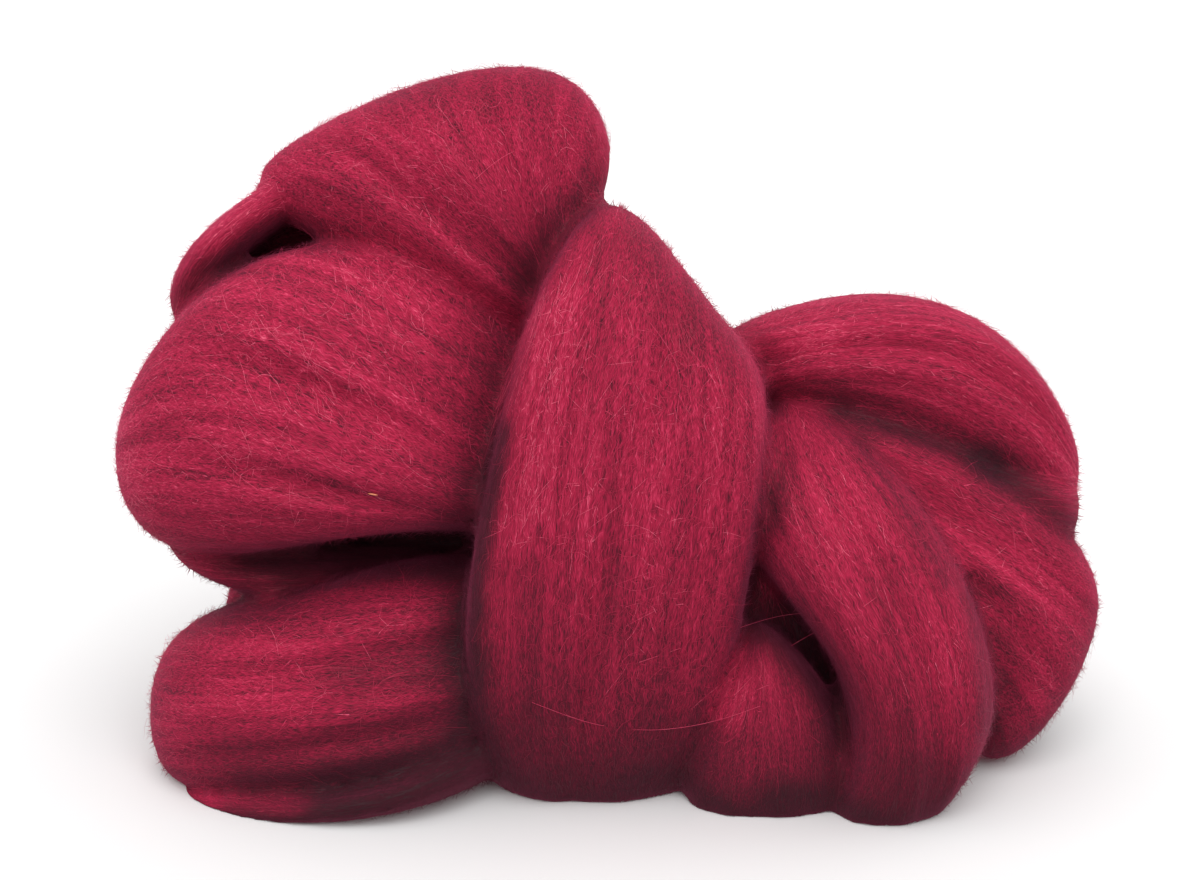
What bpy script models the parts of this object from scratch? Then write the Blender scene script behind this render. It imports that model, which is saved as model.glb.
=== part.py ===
"""A hank of dyed wool roving: one soft rope of combed wool, folded to and fro into fat laps and
bound round the middle with its own last length.

Metres, +Z up. The origin is on the surface that the hank lies on, under the middle of its box.
"""

import math

import bmesh
import bpy
from mathutils import Vector

MM = 0.001

# The tables below are a drawing of the hank from its front, in millimetres, looked down on by
# VIEW_TILT. x runs right, h runs up the sheet, and depth runs away from the viewer. The sheet's
# zero is on the floor at the hank's front edge. FRONT_EDGE_Y is that edge in the part's frame,
# and MIDDLE_X is the middle of the hank's length on the sheet.
VIEW_TILT = math.radians(18)
FRONT_EDGE_Y = -50.5
MIDDLE_X = 0.9

# Each lap is a pouch of roving. A row is one line of fibres from the lap's root, inside the
# binding, out to its far end; rows run from one edge of the lap to the other, evenly spread.
# Each row holds four (x, h) places: root, near, far, end.
# depth: of the lap's middle at those four places. front, back: half thickness to each side.
# edge: how square the lap's two edges are, 2 being round.
# furrows: each a shallow valley along the fibres, as its place across the lap (-1 to 1) at the
# root and at the end, its depth in millimetres, and its half width in the same measure as across.
LAPS = {
    "waist": {
        "rows": [
            [(-34, 24), (-12, 20), (16, 16), (60, 15)],
            [(-28, 60), (-10, 60), (16, 60), (49, 56)],
            [(-20, 100), (-8, 104), (14, 100), (34, 90)],
        ],
        "depth": (32, 32, 32, 32),
        "front": 24,
        "back": 40,
        "edge": 2.6,
    },
    "binding": {
        "rows": [
            [(-24, 5), (-29, 35), (-22, 79), (-10, 117)],
            [(-16, -1), (-18, 41), (-13, 85), (-2, 124)],
            [(-4, -4), (-5, 41), (0, 85), (7, 121)],
            [(7, -4), (12, 43), (17, 80), (17, 109)],
            [(19, -2), (26, 37), (31, 73), (30, 98)],
        ],
        "depth": (38, 27, 16, 5),
        "front": 40,
        "back": 46,
        "edge": 5,
        "furrows": [
            (-0.1, 0.4, 2.0, 0.08),
            (-0.62, -0.5, 1.4, 0.1),
            (0.55, 0.75, 1.4, 0.08),
        ],
    },
    "left_top": {
        "rows": [
            [(-10, 95), (-29, 103), (-51, 114), (-77, 127)],
            [(-10, 101), (-28, 115), (-45, 128), (-63, 137)],
            [(-10, 104), (-21, 121), (-32, 136), (-42, 147)],
            [(-9, 105), (-14, 122), (-17, 139), (-18, 152)],
            [(-8, 106), (-4, 118), (0, 130), (1, 143)],
        ],
        "depth": (16, 12, 10, 8),
        "front": 24,
        "back": 28,
        "edge": 2.4,
        "furrows": [
            (-0.35, -0.5, 1.8, 0.14),
            (0.2, 0.3, 2.0, 0.14),
        ],
    },
    "left_top_turn": {
        "rows": [
            [(-58, 134), (-72, 126), (-84, 115), (-88, 102)],
            [(-56, 131), (-70, 123), (-81, 113), (-86, 102)],
            [(-55, 127), (-68, 119), (-78, 110), (-84, 102)],
        ],
        "depth": (14, 8, 8, 14),
        "front": 11,
        "back": 28,
        "edge": 2.2,
    },
    "left_middle": {
        "rows": [
            [(-11, 104), (-35, 114), (-60, 116), (-84, 102)],
            [(-12, 84), (-38, 95), (-67, 103), (-94, 91)],
            [(-14, 69), (-40, 77), (-69, 84), (-99, 77)],
            [(-17, 62), (-41, 65), (-69, 67), (-97, 64)],
            [(-20, 58), (-42, 59), (-65, 56), (-91, 53)],
        ],
        "depth": (24, 15, 14, 16),
        "front": 33,
        "back": 30,
        "edge": 2.6,
        "furrows": [
            (0.15, -0.4, 2.4, 0.07),
            (0.75, 0.15, 2.4, 0.08),
        ],
    },
    "left_under": {
        "rows": [
            [(-14, 57), (-40, 56), (-64, 56), (-91, 59)],
            [(-15, 52), (-40, 51), (-63, 50), (-84, 51)],
            [(-16, 47), (-38, 48), (-56, 46), (-70, 46)],
        ],
        "depth": (52, 44, 32, 20),
        "front": 20,
        "back": 24,
        "edge": 2.4,
    },
    "left_low": {
        "rows": [
            [(-13, 54), (-36, 54), (-56, 50), (-75, 45)],
            [(-14, 43), (-40, 42), (-64, 39), (-90, 36)],
            [(-14, 34), (-40, 30), (-66, 26), (-94, 23)],
            [(-14, 25), (-40, 18), (-64, 14), (-92, 11)],
            [(-18, 18), (-38, 10), (-60, 5), (-84, 2)],
        ],
        "depth": (34, 30, 30, 32),
        "front": 34,
        "back": 30,
        "edge": 2.6,
        "furrows": [
            (-0.3, -0.2, 2.2, 0.14),
            (0.45, 0.35, 2.0, 0.12),
        ],
    },
    "left_foot": {
        "rows": [
            [(-18, 21), (-36, 14), (-54, 9), (-84, 8)],
            [(-20, 15), (-38, 8), (-56, 4), (-86, 3)],
            [(-22, 9), (-36, 4), (-54, 0), (-84, -4)],
        ],
        "depth": (24, 22, 22, 24),
        "front": 23,
        "back": 20,
        "edge": 2.2,
    },
    "right_top": {
        "rows": [
            [(24, 101), (42, 106), (68, 105), (94, 81)],
            [(24, 95), (44, 98), (71, 97), (96, 74)],
            [(27, 88), (46, 91), (70, 87), (95, 66)],
            [(28, 85), (46, 82), (64, 75), (86, 62)],
        ],
        "depth": (22, 22, 24, 26),
        "front": 24,
        "back": 28,
        "edge": 2.4,
        "furrows": [
            (-0.1, 0.1, 2.2, 0.15),
        ],
    },
    "right_turn": {
        "rows": [
            [(70, 75), (80, 74), (88, 73), (94, 71)],
            [(70, 68), (81, 67), (89, 65), (96, 64)],
            [(72, 61), (82, 60), (88, 58), (94, 56)],
        ],
        "depth": (24, 24, 24, 24),
        "front": 14,
        "back": 16,
        "edge": 2.2,
    },
    "right_outer": {
        "rows": [
            [(31, 86), (50, 86), (77, 75), (95, 56)],
            [(32, 83), (54, 76), (80, 61), (101, 43)],
            [(32, 80), (54, 65), (77, 46), (94, 24)],
            [(33, 77), (50, 53), (66, 29), (76, 2)],
        ],
        "depth": (26, 28, 32, 34),
        "front": 28,
        "back": 30,
        "edge": 2.6,
        "furrows": [
            (0.1, -0.1, 2.2, 0.15),
        ],
    },
    "right_front": {
        "rows": [
            [(33, 86), (30, 54), (46, 31), (37, -4)],
            [(35, 86), (40, 57), (54, 29), (52, -4)],
            [(37, 86), (52, 59), (64, 30), (64, 0)],
            [(40, 86), (63, 64), (76, 34), (74, 13)],
        ],
        "depth": (18, 11, 12, 15),
        "front": 26,
        "back": 30,
        "edge": 2.8,
        "furrows": [
            (0.15, 0.2, 2.4, 0.16),
        ],
    },
    "tail_end": {
        "rows": [
            [(29, 42), (23, 30), (17, 17), (15, -5)],
            [(30, 42), (32, 30), (33, 15), (32, -4)],
            [(30, 42), (41, 32), (48, 17), (46, -3)],
        ],
        "depth": (14, 12, 14, 16),
        "front": 14,
        "back": 16,
        "edge": 2.2,
    },
    "back_top": {
        "rows": [
            [(-10, 118), (-32, 124), (-52, 126), (-76, 124)],
            [(-12, 105), (-38, 110), (-60, 112), (-84, 108)],
            [(-14, 90), (-40, 92), (-62, 92), (-82, 88)],
        ],
        "depth": (34, 36, 38, 36),
        "front": 17,
        "back": 32,
        "edge": 2.4,
        "furrows": [
            (0.1, 0.0, 2.0, 0.16),
        ],
    },
    "back_left": {
        "rows": [
            [(-10, 105), (-34, 117), (-58, 122), (-79, 118)],
            [(-12, 81), (-42, 85), (-66, 85), (-89, 81)],
            [(-14, 53), (-38, 48), (-58, 47), (-73, 49)],
        ],
        "depth": (34, 50, 54, 48),
        "front": 24,
        "back": 24,
        "edge": 2.6,
        "furrows": [
            (-0.3, -0.4, 2.4, 0.14),
            (0.35, 0.3, 2.4, 0.14),
        ],
    },
    "back_right": {
        "rows": [
            [(26, 95), (44, 103), (64, 101), (82, 85)],
            [(28, 75), (48, 75), (68, 69), (88, 53)],
            [(30, 53), (48, 41), (62, 29), (72, 17)],
        ],
        "depth": (34, 52, 56, 50),
        "front": 24,
        "back": 22,
        "edge": 2.6,
        "furrows": [
            (-0.1, -0.2, 2.4, 0.15),
        ],
    },
    "back_left_low": {
        "rows": [
            [(-10, 61), (-34, 65), (-56, 65), (-76, 59)],
            [(-10, 45), (-36, 43), (-60, 41), (-82, 37)],
            [(-10, 25), (-34, 21), (-54, 19), (-72, 19)],
        ],
        "depth": (52, 68, 70, 68),
        "front": 20,
        "back": 22,
        "edge": 2.6,
        "furrows": [
            (0.1, 0.0, 2.4, 0.16),
        ],
    },
    "back_right_low": {
        "rows": [
            [(26, 69), (46, 65), (66, 57), (84, 47)],
            [(26, 53), (46, 47), (68, 39), (88, 31)],
            [(26, 35), (46, 27), (64, 21), (78, 19)],
        ],
        "depth": (52, 68, 72, 70),
        "front": 20,
        "back": 20,
        "edge": 2.6,
        "furrows": [
            (-0.1, 0.1, 2.2, 0.16),
        ],
    },
}

LOOP_STEPS = 96
ACROSS_STEPS = 64
LOOP_ROUNDNESS = 2.3
CORNER_ROUNDNESS = 5.0

VOXEL = 0.0022
SMOOTHING_PASSES = 5
KEPT_SHARE = 0.21
SLAB_SIZE = 0.6
WOOL_COLOUR = (0.30, 0.014, 0.05, 1.0)


def spread(count, at):
    """The weight of each of count evenly spaced places at a place from 0 to 1 (Lagrange)."""
    nodes = [k / (count - 1) for k in range(count)]
    return [
        math.prod((at - other) / (node - other) for other in nodes if other != node)
        for node in nodes
    ]


def bowed(value, power):
    """A cosine or sine bowed outwards into that of a superellipse."""
    return math.copysign(abs(value) ** (2 / power), value)


def tapered(across, power):
    """1 in the middle of a lap, and 0 at its two edges."""
    return (1 - min(1, abs(across)) ** power) ** (1 / power)


def from_sheet(x, h, depth):
    """A place on the drawing, in metres in the part's own frame."""
    y = FRONT_EDGE_Y + h * math.sin(VIEW_TILT) + depth * math.cos(VIEW_TILT)
    z = h * math.cos(VIEW_TILT) - depth * math.sin(VIEW_TILT)
    return Vector((x - MIDDLE_X, y, z)) * MM


def furrow_depth(lap, across, out):
    """How far the furrows of a lap sink its face, at a place across the fibres and out along them."""
    sunk = 0
    for at_root, at_end, depth, half_width in lap.get("furrows", []):
        middle = at_root + (at_end - at_root) * out
        sunk += depth * math.exp(-(((across - middle) / half_width) ** 2))
    return sunk


def place_on_lap(lap, across, cos_turn, sin_turn):
    """Where a point of a unit sphere lands on a lap: across is -1 to 1 over the fibres, and the
    turn runs out along the front fibres, round the lap's end and home along the back."""
    rows = lap["rows"]
    reach = bowed(cos_turn, LOOP_ROUNDNESS) * tapered(across, CORNER_ROUNDNESS)
    row_weights = spread(len(rows), (1 + across) / 2)
    out_weights = spread(4, (1 + reach) / 2)
    x = h = 0
    for row_weight, row in zip(row_weights, rows):
        for out_weight, place in zip(out_weights, row):
            x += row_weight * out_weight * place[0]
            h += row_weight * out_weight * place[1]
    middle = sum(w * d for w, d in zip(out_weights, lap["depth"]))
    half = lap["back"] if sin_turn > 0 else lap["front"]
    half = half * tapered(across, lap["edge"]) - furrow_depth(lap, across, (1 + reach) / 2)
    return from_sheet(x, h, middle + half * bowed(sin_turn, LOOP_ROUNDNESS))


def add_lap(mesh, lap):
    pouch = bmesh.new()
    bmesh.ops.create_uvsphere(pouch, u_segments=LOOP_STEPS, v_segments=ACROSS_STEPS, radius=1)
    for vert in pouch.verts:
        reach = math.hypot(vert.co.x, vert.co.y)
        cos_turn = vert.co.x / reach if reach > 1e-6 else 0
        sin_turn = vert.co.y / reach if reach > 1e-6 else 0
        vert.co = place_on_lap(lap, vert.co.z, cos_turn, sin_turn)
    data = bpy.data.meshes.new("lap")
    pouch.to_mesh(data)
    pouch.free()
    mesh.from_mesh(data)
    bpy.data.meshes.remove(data)


def floor_slab():
    """What lies below the surface the hank stands on: it presses the hank's underside flat."""
    mesh = bmesh.new()
    bmesh.ops.create_cube(mesh, size=SLAB_SIZE)
    bmesh.ops.translate(mesh, verts=mesh.verts, vec=(0, 0, -SLAB_SIZE / 2))
    data = bpy.data.meshes.new("floor_slab")
    mesh.to_mesh(data)
    mesh.free()
    slab = bpy.data.objects.new("floor_slab", data)
    slab.hide_render = True
    slab.display_type = "WIRE"
    bpy.context.scene.collection.objects.link(slab)
    return slab


def dyed_wool():
    material = bpy.data.materials.new("dyed_wool")
    material.use_nodes = True
    shader = material.node_tree.nodes["Principled BSDF"]
    shader.inputs["Base Color"].default_value = WOOL_COLOUR
    shader.inputs["Roughness"].default_value = 0.9
    return material


def main():
    for found in list(bpy.data.objects):
        bpy.data.objects.remove(found)
    mesh = bmesh.new()
    for lap in LAPS.values():
        add_lap(mesh, lap)
    bmesh.ops.recalc_face_normals(mesh, faces=mesh.faces)
    data = bpy.data.meshes.new("roving_hank")
    mesh.to_mesh(data)
    mesh.free()
    data.materials.append(dyed_wool())
    hank = bpy.data.objects.new("roving_hank", data)
    bpy.context.scene.collection.objects.link(hank)
    pressed = hank.modifiers.new("laps pressed together", "REMESH")
    pressed.mode = "VOXEL"
    pressed.voxel_size = VOXEL
    softened = hank.modifiers.new("softened", "SMOOTH")
    softened.factor = 0.5
    softened.iterations = SMOOTHING_PASSES
    thinned = hank.modifiers.new("thinned", "DECIMATE")
    thinned.ratio = KEPT_SHARE
    flattened = hank.modifiers.new("flat underneath", "BOOLEAN")
    flattened.operation = "DIFFERENCE"
    flattened.solver = "EXACT"
    flattened.object = floor_slab()


main()
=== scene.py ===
import math

import bmesh
import bpy
import numpy as np
from mathutils import Matrix, Vector
from mathutils.bvhtree import BVHTree


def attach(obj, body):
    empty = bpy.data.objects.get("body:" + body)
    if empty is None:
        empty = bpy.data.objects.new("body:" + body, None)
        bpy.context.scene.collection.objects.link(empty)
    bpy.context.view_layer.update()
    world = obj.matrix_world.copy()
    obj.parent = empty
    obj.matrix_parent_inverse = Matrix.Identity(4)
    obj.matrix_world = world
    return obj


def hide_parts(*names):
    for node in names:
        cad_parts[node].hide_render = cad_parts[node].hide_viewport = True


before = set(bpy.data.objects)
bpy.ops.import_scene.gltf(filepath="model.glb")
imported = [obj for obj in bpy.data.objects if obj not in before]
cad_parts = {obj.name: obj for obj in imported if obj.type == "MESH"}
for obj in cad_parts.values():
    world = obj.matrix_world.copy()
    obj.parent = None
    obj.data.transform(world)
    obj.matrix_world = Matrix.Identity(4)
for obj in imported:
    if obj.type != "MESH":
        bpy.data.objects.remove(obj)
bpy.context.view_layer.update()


# ---- The view, the floor and the light ----------------------------------------------------------
# A long lens a little above the hank, and a plain white floor that runs out past the picture.
# The light is a white tent, brightest overhead, with one very soft lamp high over the front.

VIEW_TILT = math.radians(18)
LOOK_AT = Vector((-0.0025, -0.0055, 0.0669))
LENS_AWAY = 0.78
LENS_LENGTH = 114.9

view = bpy.data.objects.new("view", bpy.data.cameras.new("view"))
view.data.lens = LENS_LENGTH
view.data.sensor_width = 36
view.data.clip_start = 0.01
view.location = LOOK_AT + LENS_AWAY * Vector((0, -math.cos(VIEW_TILT), math.sin(VIEW_TILT)))
view.rotation_euler = (math.radians(90) - VIEW_TILT, 0, 0)
bpy.context.scene.collection.objects.link(view)
bpy.context.scene.camera = view
bpy.context.scene.view_settings.view_transform = "Standard"

LAMP_FROM = Vector((0.10, -0.70, 0.95))
lamp = bpy.data.objects.new("soft_lamp", bpy.data.lights.new("soft_lamp", "SUN"))
lamp.data.angle = math.radians(45)
lamp.data.energy = 1.2
lamp.location = LAMP_FROM
lamp.rotation_mode = "QUATERNION"
lamp.rotation_quaternion = LAMP_FROM.to_track_quat("Z", "Y")
bpy.context.scene.collection.objects.link(lamp)

# The room: (place, how bright), the places running from straight down at 0, through the horizon
# at 0.5, to straight up at 1.
ROOM_STRENGTH = 1.04
ROOM_LIGHT = [
    (0.0, 0.30),
    (0.45, 0.55),
    (0.60, 0.82),
    (1.0, 0.90),
]
room = bpy.data.worlds.new("white_room")
room.use_nodes = True
room_nodes = room.node_tree.nodes
way = room_nodes.new("ShaderNodeTexCoord")
parts_of_way = room_nodes.new("ShaderNodeSeparateXYZ")
up = room_nodes.new("ShaderNodeMapRange")
up.inputs["From Min"].default_value = -1
brightness = room_nodes.new("ShaderNodeValToRGB")
for stop, (at, grey) in zip(brightness.color_ramp.elements, (ROOM_LIGHT[0], ROOM_LIGHT[-1])):
    stop.position = at
    stop.color = (grey, grey, grey, 1)
for at, grey in ROOM_LIGHT[1:-1]:
    brightness.color_ramp.elements.new(at).color = (grey, grey, grey, 1)
room.node_tree.links.new(way.outputs["Generated"], parts_of_way.inputs["Vector"])
room.node_tree.links.new(parts_of_way.outputs["Z"], up.inputs["Value"])
room.node_tree.links.new(up.outputs["Result"], brightness.inputs["Fac"])
room.node_tree.links.new(brightness.outputs["Color"], room_nodes["Background"].inputs["Color"])
room_nodes["Background"].inputs["Strength"].default_value = ROOM_STRENGTH
bpy.context.scene.world = room

FLOOR_HALF = 3.0
PAPER_WHITE = 0.97
floor_shape = bmesh.new()
bmesh.ops.create_grid(floor_shape, x_segments=1, y_segments=1, size=FLOOR_HALF)
floor = bpy.data.objects.new("floor", bpy.data.meshes.new("floor"))
floor_shape.to_mesh(floor.data)
floor_shape.free()
white_paper = bpy.data.materials.new("white_paper")
white_paper.use_nodes = True
paper = white_paper.node_tree.nodes["Principled BSDF"]
paper.inputs["Base Color"].default_value = (PAPER_WHITE, PAPER_WHITE, PAPER_WHITE, 1)
paper.inputs["Roughness"].default_value = 0.9
floor.data.materials.append(white_paper)
# The paper throws no light back up into the wool.
floor.visible_diffuse = False
bpy.context.scene.collection.objects.link(floor)


# ---- The wool's laps ----------------------------------------------------------------------------
# One rope of dyed, combed wool, folded to and fro into fat laps and bound round the middle with
# its own last length. Each lap is a pouch of fibres, and the laps are pressed into one another.

MM = 0.001

# A drawing of the hank from its front, in millimetres, looked down on by VIEW_TILT: x to the
# right, h up the sheet, and depth away from the viewer. A row is one line of fibres from the
# lap's root, in the binding, out to its far end: (x, h) at the root, near, far and at the end.
# Rows run evenly over the lap. depth is the lap's middle at those four places; front and back,
# its half thickness; edge, how square its sides are. A furrow is (place across at the root, at
# the end, depth, half width), the places running from -1 to 1 over the lap. FRONT_EDGE_Y and
# MIDDLE_X place the drawing in the hank's own frame.
FRONT_EDGE_Y = -50.5
MIDDLE_X = 0.9
LAPS = {
    "waist": {
        "rows": [
            [(-34, 24), (-12, 20), (16, 16), (60, 15)],
            [(-28, 60), (-10, 60), (16, 60), (49, 56)],
            [(-20, 100), (-8, 104), (14, 100), (34, 90)],
        ],
        "depth": (32, 32, 32, 32),
        "front": 24,
        "back": 40,
        "edge": 2.6,
    },
    "binding": {
        "rows": [
            [(-24, 5), (-29, 35), (-22, 79), (-10, 117)],
            [(-16, -1), (-18, 41), (-13, 85), (-2, 124)],
            [(-4, -4), (-5, 41), (0, 85), (7, 121)],
            [(7, -4), (12, 43), (17, 80), (17, 109)],
            [(19, -2), (26, 37), (31, 73), (30, 98)],
        ],
        "depth": (38, 27, 16, 5),
        "front": 40,
        "back": 46,
        "edge": 5,
        "furrows": [
            (-0.1, 0.4, 2.0, 0.08),
            (-0.62, -0.5, 1.4, 0.1),
            (0.55, 0.75, 1.4, 0.08),
        ],
    },
    "left_top": {
        "rows": [
            [(-10, 95), (-29, 103), (-51, 114), (-77, 127)],
            [(-10, 101), (-28, 115), (-45, 128), (-63, 137)],
            [(-10, 104), (-21, 121), (-32, 136), (-42, 147)],
            [(-9, 105), (-14, 122), (-17, 139), (-18, 152)],
            [(-8, 106), (-4, 118), (0, 130), (1, 143)],
        ],
        "depth": (16, 12, 10, 8),
        "front": 24,
        "back": 28,
        "edge": 2.4,
        "furrows": [
            (-0.35, -0.5, 1.8, 0.14),
            (0.2, 0.3, 2.0, 0.14),
        ],
    },
    "left_top_turn": {
        "rows": [
            [(-58, 134), (-72, 126), (-84, 115), (-88, 102)],
            [(-56, 131), (-70, 123), (-81, 113), (-86, 102)],
            [(-55, 127), (-68, 119), (-78, 110), (-84, 102)],
        ],
        "depth": (14, 8, 8, 14),
        "front": 11,
        "back": 28,
        "edge": 2.2,
    },
    "left_middle": {
        "rows": [
            [(-11, 104), (-35, 114), (-60, 116), (-84, 102)],
            [(-12, 84), (-38, 95), (-67, 103), (-94, 91)],
            [(-14, 69), (-40, 77), (-69, 84), (-99, 77)],
            [(-17, 62), (-41, 65), (-69, 67), (-97, 64)],
            [(-20, 58), (-42, 59), (-65, 56), (-91, 53)],
        ],
        "depth": (24, 15, 14, 16),
        "front": 33,
        "back": 30,
        "edge": 2.6,
        "furrows": [
            (0.15, -0.4, 2.4, 0.07),
            (0.75, 0.15, 2.4, 0.08),
        ],
    },
    "left_under": {
        "rows": [
            [(-14, 57), (-40, 56), (-64, 56), (-91, 59)],
            [(-15, 52), (-40, 51), (-63, 50), (-84, 51)],
            [(-16, 47), (-38, 48), (-56, 46), (-70, 46)],
        ],
        "depth": (52, 44, 32, 20),
        "front": 20,
        "back": 24,
        "edge": 2.4,
    },
    "left_low": {
        "rows": [
            [(-13, 54), (-36, 54), (-56, 50), (-75, 45)],
            [(-14, 43), (-40, 42), (-64, 39), (-90, 36)],
            [(-14, 34), (-40, 30), (-66, 26), (-94, 23)],
            [(-14, 25), (-40, 18), (-64, 14), (-92, 11)],
            [(-18, 18), (-38, 10), (-60, 5), (-84, 2)],
        ],
        "depth": (34, 30, 30, 32),
        "front": 34,
        "back": 30,
        "edge": 2.6,
        "furrows": [
            (-0.3, -0.2, 2.2, 0.14),
            (0.45, 0.35, 2.0, 0.12),
        ],
    },
    "left_foot": {
        "rows": [
            [(-18, 21), (-36, 14), (-54, 9), (-84, 8)],
            [(-20, 15), (-38, 8), (-56, 4), (-86, 3)],
            [(-22, 9), (-36, 4), (-54, 0), (-84, -4)],
        ],
        "depth": (24, 22, 22, 24),
        "front": 23,
        "back": 20,
        "edge": 2.2,
    },
    "right_top": {
        "rows": [
            [(24, 101), (42, 106), (68, 105), (94, 81)],
            [(24, 95), (44, 98), (71, 97), (96, 74)],
            [(27, 88), (46, 91), (70, 87), (95, 66)],
            [(28, 85), (46, 82), (64, 75), (86, 62)],
        ],
        "depth": (22, 22, 24, 26),
        "front": 24,
        "back": 28,
        "edge": 2.4,
        "furrows": [
            (-0.1, 0.1, 2.2, 0.15),
        ],
    },
    "right_turn": {
        "rows": [
            [(70, 75), (80, 74), (88, 73), (94, 71)],
            [(70, 68), (81, 67), (89, 65), (96, 64)],
            [(72, 61), (82, 60), (88, 58), (94, 56)],
        ],
        "depth": (24, 24, 24, 24),
        "front": 14,
        "back": 16,
        "edge": 2.2,
    },
    "right_outer": {
        "rows": [
            [(31, 86), (50, 86), (77, 75), (95, 56)],
            [(32, 83), (54, 76), (80, 61), (101, 43)],
            [(32, 80), (54, 65), (77, 46), (94, 24)],
            [(33, 77), (50, 53), (66, 29), (76, 2)],
        ],
        "depth": (26, 28, 32, 34),
        "front": 28,
        "back": 30,
        "edge": 2.6,
        "furrows": [
            (0.1, -0.1, 2.2, 0.15),
        ],
    },
    "right_front": {
        "rows": [
            [(33, 86), (30, 54), (46, 31), (37, -4)],
            [(35, 86), (40, 57), (54, 29), (52, -4)],
            [(37, 86), (52, 59), (64, 30), (64, 0)],
            [(40, 86), (63, 64), (76, 34), (74, 13)],
        ],
        "depth": (18, 11, 12, 15),
        "front": 26,
        "back": 30,
        "edge": 2.8,
        "furrows": [
            (0.15, 0.2, 2.4, 0.16),
        ],
    },
    "tail_end": {
        "rows": [
            [(29, 42), (23, 30), (17, 17), (15, -5)],
            [(30, 42), (32, 30), (33, 15), (32, -4)],
            [(30, 42), (41, 32), (48, 17), (46, -3)],
        ],
        "depth": (14, 12, 14, 16),
        "front": 14,
        "back": 16,
        "edge": 2.2,
    },
    "back_top": {
        "rows": [
            [(-10, 118), (-32, 124), (-52, 126), (-76, 124)],
            [(-12, 105), (-38, 110), (-60, 112), (-84, 108)],
            [(-14, 90), (-40, 92), (-62, 92), (-82, 88)],
        ],
        "depth": (34, 36, 38, 36),
        "front": 17,
        "back": 32,
        "edge": 2.4,
        "furrows": [
            (0.1, 0.0, 2.0, 0.16),
        ],
    },
    "back_left": {
        "rows": [
            [(-10, 105), (-34, 117), (-58, 122), (-79, 118)],
            [(-12, 81), (-42, 85), (-66, 85), (-89, 81)],
            [(-14, 53), (-38, 48), (-58, 47), (-73, 49)],
        ],
        "depth": (34, 50, 54, 48),
        "front": 24,
        "back": 24,
        "edge": 2.6,
        "furrows": [
            (-0.3, -0.4, 2.4, 0.14),
            (0.35, 0.3, 2.4, 0.14),
        ],
    },
    "back_right": {
        "rows": [
            [(26, 95), (44, 103), (64, 101), (82, 85)],
            [(28, 75), (48, 75), (68, 69), (88, 53)],
            [(30, 53), (48, 41), (62, 29), (72, 17)],
        ],
        "depth": (34, 52, 56, 50),
        "front": 24,
        "back": 22,
        "edge": 2.6,
        "furrows": [
            (-0.1, -0.2, 2.4, 0.15),
        ],
    },
    "back_left_low": {
        "rows": [
            [(-10, 61), (-34, 65), (-56, 65), (-76, 59)],
            [(-10, 45), (-36, 43), (-60, 41), (-82, 37)],
            [(-10, 25), (-34, 21), (-54, 19), (-72, 19)],
        ],
        "depth": (52, 68, 70, 68),
        "front": 20,
        "back": 22,
        "edge": 2.6,
        "furrows": [
            (0.1, 0.0, 2.4, 0.16),
        ],
    },
    "back_right_low": {
        "rows": [
            [(26, 69), (46, 65), (66, 57), (84, 47)],
            [(26, 53), (46, 47), (68, 39), (88, 31)],
            [(26, 35), (46, 27), (64, 21), (78, 19)],
        ],
        "depth": (52, 68, 72, 70),
        "front": 20,
        "back": 20,
        "edge": 2.6,
        "furrows": [
            (-0.1, 0.1, 2.2, 0.16),
        ],
    },
}

# How square a lap's loop and its corners are: 2 is an ellipse, and more is squarer.
LOOP_ROUNDNESS = 2.3
CORNER_ROUNDNESS = 5.0
# How many faces go round a lap along its fibres, and how many over it.
LOOP_STEPS = 192
ACROSS_STEPS = 120

# The locks of wool that show as long ridges on a lap: height (mm), ridges over the lap, and how
# far a ridge wanders sideways on its way round.
RIDGES = [
    (0.50, 3.1, 0.8),
    (0.38, 7.0, 1.2),
    (0.22, 14.0, 1.8),
]
# The waves of that wandering, in radians for a radian of turn. The quick one goes half as far.
SLOW_WANDER = 1.5
QUICK_WANDER = 2.6
# Each lap draws its ridges from a seed of its own, counted from this one.
LAP_SEEDS = 100

# How fine the pressed wool's mesh is, and how often it is smoothed.
WOOL_VOXEL = 0.00145
WOOL_SMOOTHING = 3
# The wool lies flat this high over the floor, and its thin edge there is this thick.
FLOOR_GAP = 0.0002
FLOOR_LIP = 0.0003


def spread(count, at):
    """The weight of each of count evenly spaced places at a place from 0 to 1 (Lagrange)."""
    nodes = [k / (count - 1) for k in range(count)]
    return [
        np.prod([(at - other) / (node - other) for other in nodes if other != node], axis=0)
        for node in nodes
    ]


def bowed(value, power):
    """A sine or cosine squared up, as its superellipse of that power has it."""
    return np.copysign(np.abs(value) ** (2 / power), value)


def tapered(across, power):
    """How thick a lap still is at a place over it: 1 in the middle, down to 0 at its sides."""
    return (1 - np.minimum(1, np.abs(across)) ** power) ** (1 / power)


def relief(lap, across, turn, out):
    """How far a lap's face stands out for its ridges, less its furrows, in millimetres."""
    chance = np.random.default_rng(lap["seed"])
    height = 0
    for tall, ridges, wander in RIDGES:
        phase, drift, beat = chance.uniform(0, 2 * math.pi, 3)
        sideways = wander * np.sin(SLOW_WANDER * turn + drift)
        sideways = sideways + 0.5 * wander * np.sin(QUICK_WANDER * turn + beat)
        height = height + tall * np.sin(math.pi * ridges * across + phase + sideways)
    for at_root, at_end, depth, half_width in lap.get("furrows", []):
        middle = at_root + (at_end - at_root) * out
        height = height - depth * np.exp(-(((across - middle) / half_width) ** 2))
    return height


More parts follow.
